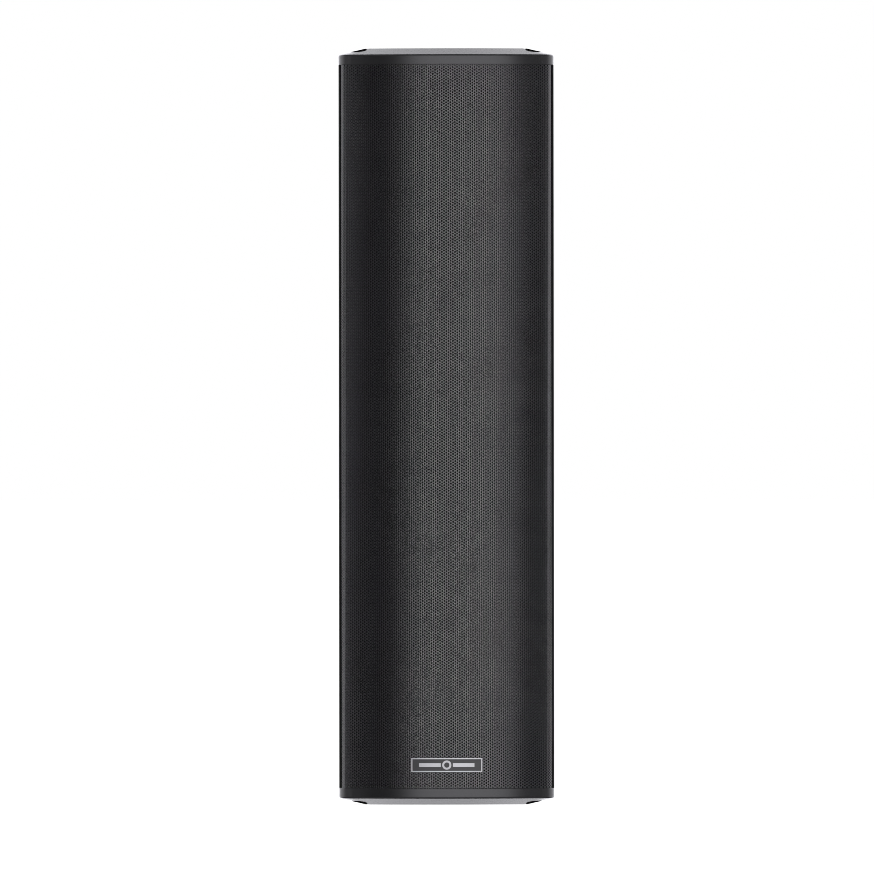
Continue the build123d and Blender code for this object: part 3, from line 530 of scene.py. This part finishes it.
def dress_shell(screw, seal):
    """Finishes for the cabinet, the caps and what lies along the front."""
    dress(powder_coat(), "cabinet_extrusion")
    dress(satin_coat(), "top_cap", "bottom_cap")
    dress(edge_rubber(), "left_edge_strip", "right_edge_strip")
    # The screw recess liners carry painted shade: they are near-black so the recesses look dark.
    dress(liner_rubber(), "cap_screw_liners")
    dress(seal, "cap_gaskets", "terminal_cup_gasket", "woofer_gaskets")
    dress(open_foam(), "grille_foam")
    dress(screw, "cap_screws", "panel_screws")
    dress(painted_board(), "front_baffle")


def dress_drivers():
    """Finishes for the woofers and the tweeter."""
    motor = motor_metal()
    dress(motor, "tweeter_motor")
    basket = moulded("basket_coat", (0.014, 0.014, 0.014), 900, 0.4)
    cone, coil = pulp_cone(), wound_copper("coil_copper", 0.0004, 1)
    for number in WOOFERS:
        dress(basket, f"woofer_{number}_basket")
        dress(motor, f"woofer_{number}_motor")
        dress(cone, f"woofer_{number}_cone")
        dress(coil, f"woofer_{number}_voice_coil")
    dress(moulded("horn_plastic", (0.012, 0.012, 0.012), 2200, 0.45), "tweeter_waveguide")
    dress(brushed("spun_dome", (0.60, 0.61, 0.62), (1, 1, 1), 0.25), "tweeter_diaphragm")


def dress_electronics():
    """Finishes for the crossover, the transformer and the brackets."""
    dress(circuit_laminate(), "crossover_board")
    dress(film_can(), "crossover_capacitors")
    dress(wound_copper("inductor_copper", 0.001, 1), "crossover_inductors")
    dress(cement(), "crossover_resistors")
    dress(laminations(), "line_transformer")
    zinc = brushed("zinc_plate", (0.55, 0.56, 0.54), (1, 1, 0.3), 0.34)
    dress(zinc, "transformer_bracket")
    dress(brushed("plated_insert", (0.30, 0.30, 0.29), (1, 0.3, 1), 0.45), "rear_inserts")
    dress(brushed("turned_brass", (0.60, 0.44, 0.20), (1, 0.2, 1)), "board_standoffs")


def dress_terminals():
    """Finishes for the rear cup, the header and the tap selector."""
    dress(moulded("cup_plastic", (0.013, 0.013, 0.0135), 1300, 0.5), "terminal_cup")
    dress(moulded("connector_green", (0.010, 0.12, 0.045), 2500, 0.38), "input_connector")
    dress(brushed("tinned_pin", (0.66, 0.66, 0.63), (1, 0.2, 1)), "input_connector_pins")
    dress(moulded("switch_body", (0.03, 0.03, 0.032), 2000, 0.45), "tap_selector_switch")
    dress(brushed("turned_steel", (0.58, 0.58, 0.58), (1, 0.2, 1)), "tap_selector_shaft")
    dress(moulded("knob_plastic", (0.022, 0.022, 0.023), 2600, 0.4), "tap_selector_knob")
    white = moulded("white_plastic", (0.62, 0.62, 0.60), 3000, 0.45, 0.00002)
    dress(white, "tap_selector_pointer", "tap_selector_scale")
    dress(insulation(), "wiring_harness")


# ---------------------------------------------------------------------- meshes

def on_front(across, depth):
    """X and Y of points some way across the roll and some depth under its face, both in metres."""
    face, corner = FRONT_RADIUS - GRILLE_INSET, FRONT_CORNER - GRILLE_INSET
    flat = face * CORNER_STARTS
    way, far = np.sign(across), np.abs(across)
    lean = np.minimum(far, flat) / face
    bend = CORNER_STARTS + np.maximum(far - flat, 0) / corner
    round_it = far > flat
    x = np.where(
        round_it, CORNER_X + (corner - depth) * np.sin(bend), (face - depth) * np.sin(lean)
    )
    y = np.where(
        round_it,
        CORNER_Y - (corner - depth) * np.cos(bend),
        FRONT_CENTRE_Y - (face - depth) * np.cos(lean),
    )
    return way * x, y


def across_at(angle):
    """Distance across the roll at an angle round the front corner."""
    face, corner = FRONT_RADIUS - GRILLE_INSET, FRONT_CORNER - GRILLE_INSET
    return face * CORNER_STARTS + corner * (angle - CORNER_STARTS)


def new_object(name, mesh, finish):
    """A mesh as an object in the scene, with one finish."""
    ob = bpy.data.objects.new(name, mesh)
    bpy.context.scene.collection.objects.link(ob)
    mesh.materials.append(finish)
    return ob


def smooth(mesh, degrees=40):
    """Soft shading, with edges sharper than an angle left crisp."""
    mesh.shade_smooth()
    mesh.set_sharp_from_angle(angle=math.radians(degrees))


def cell_corners():
    """The eight rim points of one six-sided cell, two of them in the middle of its flat sides."""
    waist = COLUMN_STEP - CELL_REACH
    rise = ROW_STEP / 2
    right = [(CELL_REACH, 0), (waist, rise), (0, rise)]
    corners = np.array(right + [(-x, y) for x, y in reversed(right[:2])])
    return np.vstack([corners, [(-waist, -rise), (0, -rise), (waist, -rise)]])


def grille_band(name, cells, holed, finish):
    """A closed piece of perforated sheet from the centres of its cells, across and up."""
    corners = cell_corners()
    steps = np.arange(HOLE_SIDES) * TURN / HOLE_SIDES
    circle = HOLE_R * np.column_stack([np.cos(steps), np.sin(steps)])
    rims = cells[:, None] + corners
    keys = np.round(rims.reshape(-1, 2) / (0.01 * MM)).astype(np.int64)
    _, first, shared = np.unique(keys, axis=0, return_index=True, return_inverse=True)
    rim_points = rims.reshape(-1, 2)[first]
    rim = shared.reshape(-1, HOLE_SIDES)
    hole_points = (cells[holed][:, None] + circle).reshape(-1, 2)
    hole = len(rim_points) + np.arange(len(hole_points)).reshape(-1, HOLE_SIDES)
    flat = np.vstack([rim_points, hole_points])
    count = len(flat)
    after = np.roll(np.arange(HOLE_SIDES), -1)
    ring = np.stack([rim[holed], rim[holed][:, after], hole[:, after], hole], 2).reshape(-1, 4)
    bore = np.stack([hole, hole[:, after], hole[:, after] + count, hole + count], 2)
    solid = rim[~holed]
    # the outline is every rim edge that only one cell has
    edges = np.stack([rim, rim[:, after]], 2).reshape(-1, 2)
    pairs = np.sort(edges, 1)
    _, at, uses = np.unique(pairs, axis=0, return_index=True, return_counts=True)
    outline = edges[at[uses == 1]]
    side = np.column_stack([outline[:, ::-1], outline + count])
    faces = [
        *ring.tolist(),
        *(ring[:, ::-1] + count).tolist(),
        *bore.reshape(-1, 4).tolist(),
        *solid.tolist(),
        *(solid[:, ::-1] + count).tolist(),
        *side.tolist(),
    ]
    points = []
    for depth in (0.0, GRILLE_T):
        x, y = on_front(flat[:, 0], depth)
        points.append(np.column_stack([x, y, flat[:, 1]]))
    mesh = bpy.data.meshes.new(name)
    mesh.from_pydata(np.vstack(points).tolist(), [], faces)
    smooth(mesh)
    unrolled(mesh, np.vstack([flat, flat]))
    return new_object(name, mesh, finish)


def unrolled(mesh, flat):
    """Map the sheet as it lies before it is rolled."""
    corner = np.zeros(len(mesh.loops), np.int64)
    mesh.loops.foreach_get("vertex_index", corner)
    low, high = flat.min(0), flat.max(0)
    share = (flat - low) / (high - low).max()
    layer = mesh.uv_layers.new(name="OFBake")
    layer.data.foreach_set("uv", share[corner].astype(np.float32).ravel())


def make_grille():
    """The perforated sheet, in bands stacked up its height."""
    finish = grille_coat()
    low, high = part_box("front_grille")
    columns = int((across_at(GRILLE_EDGE) - CELL_REACH) / COLUMN_STEP)
    rows = int((high.z - low.z) / ROW_STEP - 0.5)
    base = (low.z + high.z) / 2 - (rows - 0.5) * ROW_STEP / 2
    column = np.arange(-columns, columns + 1)
    cuts = np.linspace(0, rows, GRILLE_BANDS + 1).astype(int)
    for number, (start, end) in enumerate(zip(cuts, cuts[1:]), start=1):
        grid, row = np.meshgrid(column, np.arange(start, end))
        across = grid.ravel() * COLUMN_STEP
        up = base + (row.ravel() + 0.5 * (grid.ravel() % 2)) * ROW_STEP
        holed = np.abs(across) < across_at(LAST_HOLE)
        band = grille_band(f"grille_band_{number}", np.column_stack([across, up]), holed, finish)
        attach(band, "cabinet")
        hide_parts("front_grille")


def curved_block(bm, middle, size, proud, thick, round_by):
    """A rounded block that follows the front's curve, standing proud of the grille's face."""
    steps = max(2, int(size[0] / (2 * MM)))
    spans = np.linspace(middle[0] - size[0] / 2, middle[0] + size[0] / 2, steps + 1)
    rows = []
    for across in spans:
        column = []
        for depth, z in (
            (-proud, middle[1] - size[1] / 2),
            (-proud, middle[1] + size[1] / 2),
            (thick - proud, middle[1] + size[1] / 2),
            (thick - proud, middle[1] - size[1] / 2),
        ):
            x, y = on_front(np.array(across), depth)
            column.append(bm.verts.new((float(x), float(y), z)))
        rows.append(column)
    made = []
    for left, right in zip(rows, rows[1:]):
        for i in range(4):
            j = (i + 1) % 4
            made.append(bm.faces.new((left[i], right[i], right[j], left[j])))
    made.append(bm.faces.new(rows[0]))
    made.append(bm.faces.new(rows[-1][::-1]))
    rim = [
        edge
        for edge in {e for face in made for e in face.edges}
        if edge.calc_face_angle(0) > math.radians(60)
    ]
    bmesh.ops.recalc_face_normals(bm, faces=made)
    bmesh.ops.bevel(
        bm, geom=rim, offset=round_by, segments=3, profile=0.5, affect="EDGES", clamp_overlap=True
    )


def raised_line(bm, middle, size, soften=LINE_SOFT):
    """One of the badge's raised lines or bars."""
    curved_block(bm, middle, size, LINE_PROUD, LINE_THICK, soften)


def badge_ring(bm, middle_z, outer, inner, sides=40):
    """A flat raised ring with soft edges."""
    back, shoulder = LINE_THICK - LINE_PROUD, LINE_SOFT - LINE_PROUD
    section = [(outer, back), (outer, shoulder), (outer - LINE_SOFT, -LINE_PROUD)]
    section += [(inner + LINE_SOFT, -LINE_PROUD), (inner, shoulder), (inner, back)]
    rows = []
    for side in range(sides):
        turn = TURN * side / sides
        row = []
        for radius, depth in section:
            x, y = on_front(np.array(radius * math.cos(turn)), depth)
            row.append(bm.verts.new((float(x), float(y), middle_z + radius * math.sin(turn))))
        rows.append(row)
    for side in range(sides):
        near, far = rows[side], rows[(side + 1) % sides]
        for i in range(len(section)):
            j = (i + 1) % len(section)
            bm.faces.new((near[i], far[i], far[j], near[j]))


def make_badge():
    """A plain nameplate: a raised border, and a ring between two bars."""
    low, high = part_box("badge")
    middle_z = (low.z + high.z) / 2
    wide, tall = high.x - low.x, high.z - low.z
    plate = bmesh.new()
    curved_block(plate, (0, middle_z), (wide, tall), PLATE_PROUD, PLATE_PROUD, 0.2 * MM)
    dark = moulded("badge_ground", (0.018, 0.018, 0.019), 3000, 0.34)
    ground = from_bmesh("badge_plate", plate, dark)
    raised = bmesh.new()
    for way in (-1, 1):
        raised_line(raised, (0, middle_z + way * (tall - LINE_WIDE) / 2), (wide, LINE_WIDE))
        side = (way * (wide - LINE_WIDE) / 2, middle_z)
        raised_line(raised, side, (LINE_WIDE, tall - 2 * LINE_WIDE))
        raised_line(raised, (way * 15.6 * MM, middle_z), (20 * MM, 3.4 * MM), 0.2 * MM)
    badge_ring(raised, middle_z, 4.3 * MM, 2.4 * MM)
    bmesh.ops.recalc_face_normals(raised, faces=raised.faces[:])
    silver = brushed("badge_silver", (0.30, 0.30, 0.305), (0.02, 1, 1), 0.34)
    bars = from_bmesh("badge_relief", raised, silver)
    for piece in (ground, bars):
        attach(piece, "cabinet")
        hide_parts("badge")


def from_bmesh(name, bm, finish):
    """A built-up mesh as an object."""
    mesh = bpy.data.meshes.new(name)
    bm.to_mesh(mesh)
    bm.free()
    smooth(mesh)
    return new_object(name, mesh, finish)


def turned_mesh(name, centre, outline, finish, sides=96):
    """An outline of (radius, depth) points turned round an axis along Y."""
    points, faces = [], []
    for side in range(sides):
        angle = TURN * side / sides
        for radius, depth in outline:
            points.append(
                (
                    centre[0] + radius * math.cos(angle),
                    centre[1] + depth,
                    centre[2] + radius * math.sin(angle),
                )
            )
    size = len(outline)
    for side in range(sides):
        near, far = side * size, (side + 1) % sides * size
        for i in range(size):
            j = (i + 1) % size
            faces.append((near + i, far + i, far + j, near + j))
    mesh = bpy.data.meshes.new(name)
    mesh.from_pydata(points, [], faces)
    smooth(mesh)
    return new_object(name, mesh, finish)


def thick_line(line, skin):
    """A closed outline with a skin's thickness behind a line of (radius, depth) points."""
    return [*line, *[(radius, depth + skin) for radius, depth in reversed(line)]]


def flexes(piece, centre, inner, outer):
    """Bake a ring's placement into its mesh and work out each point's share of the way from its
    inner edge to its outer edge.
    """
    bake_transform(piece)
    co = np.zeros(len(piece.data.vertices) * 3, np.float32)
    piece.data.vertices.foreach_get("co", co)
    co = co.reshape(-1, 3)
    radius = np.hypot(co[:, 0], co[:, 2] - centre)
    share = np.clip((outer - radius) / (outer - inner), 0, 1)


def half_roll_line(inner, start, end, outer, depth, rise, steps=14):
    """A flat inner lip, a half-round roll towards the front and a flat outer lip."""
    line = [(inner, depth), (start, depth)]
    for i in range(1, steps):
        turn = math.pi * i / steps
        radius = (start + end) / 2 - (end - start) / 2 * math.cos(turn)
        line.append((radius, depth - rise * math.sin(turn)))
    return line + [(end, depth), (outer, depth)]


def corrugated_line(inner, outer, rim, depth, waves=5, rise=1.0 * MM, steps=50):
    """Even corrugations between a glued inner edge and a flat outer lip."""
    line = []
    for i in range(steps + 1):
        share = i / steps
        lift = rise * (0.5 - 0.5 * math.cos(TURN * waves * share))
        line.append((inner + (outer - inner) * share, depth - lift))
    return line + [(rim, depth)]


def rolled_surround(name, node, moving, roll, rim, skin, rise, finish):
    """A half-roll surround in a CAD surround's place."""
    low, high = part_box(node)
    centre = (0.0, 0.0, (low.z + high.z) / 2)
    inner, start, end = roll
    line = half_roll_line(inner, start, end, rim or (high.x - low.x) / 2, high.y - skin, rise)
    ring = turned_mesh(name, centre, thick_line(line, skin), finish)
    flexes(ring, centre[2], start, end)
    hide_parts(node)


def make_suspensions():
    """Each driver's surround, and each woofer's spider."""
    rubber = surround_rubber()
    cloth = spider_cloth()
    for number in WOOFERS:
        moving = f"woofer_{number}_moving"
        node = f"woofer_{number}_surround"
        name = f"surround_{number}"
        rolled_surround(name, node, moving, ROLL, None, ROLL_SKIN, ROLL_RISE, rubber)
        low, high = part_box(f"woofer_{number}_spider")
        centre = (0.0, 0.0, (low.z + high.z) / 2)
        line = corrugated_line(CLOTH_IN, CLOTH_OUT, (high.x - low.x) / 2, high.y - CLOTH_SKIN)
        ring = turned_mesh(f"spider_{number}", centre, thick_line(line, CLOTH_SKIN), cloth)
        flexes(ring, centre[2], CLOTH_GLUE, CLOTH_OUT)
        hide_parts(f"woofer_{number}_spider")
    small = (SMALL_ROLL, SMALL_RIM, SMALL_SKIN, SMALL_RISE)
    rolled_surround("surround_tweeter", "tweeter_surround", "tweeter_moving", *small, rubber)


# ------------------------------------------------------- floor, light, camera

FRAME_WIDTH = 0.8104
CAMERA_AWAY = 25.0
CAMERA_LEFT = 8.75 * MM
CAMERA_ROLL = 0.0011
CAMERA_HEIGHT = 341.2 * MM
SENSOR = 36.0
FLOOR_REACH = 120.0

# Front panels as turned from straight ahead, in degrees: starts, full, ends, gone, strength
PANELS = ((-23.5, -14.5, 31, 37, 2.45), (-84, -62, -48, -36, 0.17))
# Backdrop that wraps round from the sides: starts, full, strength
BACKDROP = ((0, 10, 0.04), (36, 56, 0.52), (84, 112, 1.0), (130, 165, 0.9))
# Two soft lights behind and above: degrees round, rise above the horizon, strength
SHOULDERS = ((98, 125, 150, 174), (0.22, 0.36, 0.52, 0.68), 1.0)
# The rises over which the panels and the backdrop fade out, and the light from above comes in
PANEL_FADE = (0.26, 0.68)
BACKDROP_FADE = (0.24, 0.625)
OVERHEAD_FADE = (0.50, 0.92)
OVERHEAD = 0.5
STUDIO_TINT = (0.988, 0.982, 1.030, 1)


def make_floor():
    """A pale floor that the camera sees but that throws no light back at the object."""
    mesh = bpy.data.meshes.new("floor")
    ways = ((-1, -1), (1, -1), (1, 1), (-1, 1))
    corners = [(x * FLOOR_REACH, y * FLOOR_REACH, 0) for x, y in ways]
    mesh.from_pydata(corners, [], [(0, 1, 2, 3)])
    floor = new_object("floor", mesh, pale_floor())
    floor.visible_glossy = False
    floor.visible_diffuse = False


def lit_between(s, edges, value):
    """Fades in over the first two edges of four and out over the last two."""
    start, full, end, gone = edges
    return s.between(start, full, value) * (1 - s.between(end, gone, value))


def make_light():
    """A white studio with one wide soft panel in front and darkness to either side of it."""
    world = bpy.data.worlds.new("studio")
    bpy.context.scene.world = world
    world.use_nodes = True
    world.node_tree.nodes.clear()
    s = Shade(world.node_tree)
    direction = s.node("TexCoord").outputs["Generated"]
    split = s.node("SeparateXYZ", None, {0: direction})
    x, y, z = [Value(s, split.outputs[i]) for i in range(3)]
    turn = s.math("ARCTAN2", x, -y)
    rise = abs(z)
    level = 0.0
    for *edges, strength in PANELS:
        level = level + strength * lit_between(s, [math.radians(edge) for edge in edges], turn)
    level = level * (1 - s.between(*PANEL_FADE, rise))
    for start, full, strength in BACKDROP:
        lit = s.between(math.radians(start), math.radians(full), abs(turn))
        level = level + strength * lit * (1 - s.between(*BACKDROP_FADE, rise))
    around, up, strength = SHOULDERS
    lit = lit_between(s, [math.radians(edge) for edge in around], abs(turn))
    level = level + strength * lit * lit_between(s, up, z)
    level = level + OVERHEAD * s.between(*OVERHEAD_FADE, rise)
    sky = s.node("Background", None, {"Color": STUDIO_TINT, "Strength": level})
    white = s.node("Background", None, {"Color": (1, 1, 1, 1), "Strength": 1.0})
    seen = s.node("LightPath").outputs["Is Camera Ray"]
    mix = s.node("MixShader", None, {0: seen, 1: sky.outputs[0], 2: white.outputs[0]})
    out = s.node("OutputWorld")
    s.plug(out.inputs["Surface"], mix.outputs[0])


def make_camera():
    """A long lens straight in front of the object, just left of its middle."""
    data = bpy.data.cameras.new("camera")
    data.sensor_width = SENSOR
    data.lens = SENSOR * CAMERA_AWAY / FRAME_WIDTH
    data.clip_start = 1.0
    data.clip_end = 500.0
    camera = bpy.data.objects.new("camera", data)
    bpy.context.scene.collection.objects.link(camera)
    camera.location = (-CAMERA_LEFT, FRONT_Y - CAMERA_AWAY, CAMERA_HEIGHT)
    camera.rotation_euler = (math.pi / 2, CAMERA_ROLL, 0)
    bpy.context.scene.camera = camera
    bpy.context.scene.view_settings.view_transform = "Standard"
    bpy.context.scene.cycles.filter_width = 0.8


make_camera()
make_light()
make_floor()
dress_shell(black_oxide(), seal_rubber())
dress_drivers()
dress_electronics()
dress_terminals()
make_grille()
make_badge()
make_suspensions()
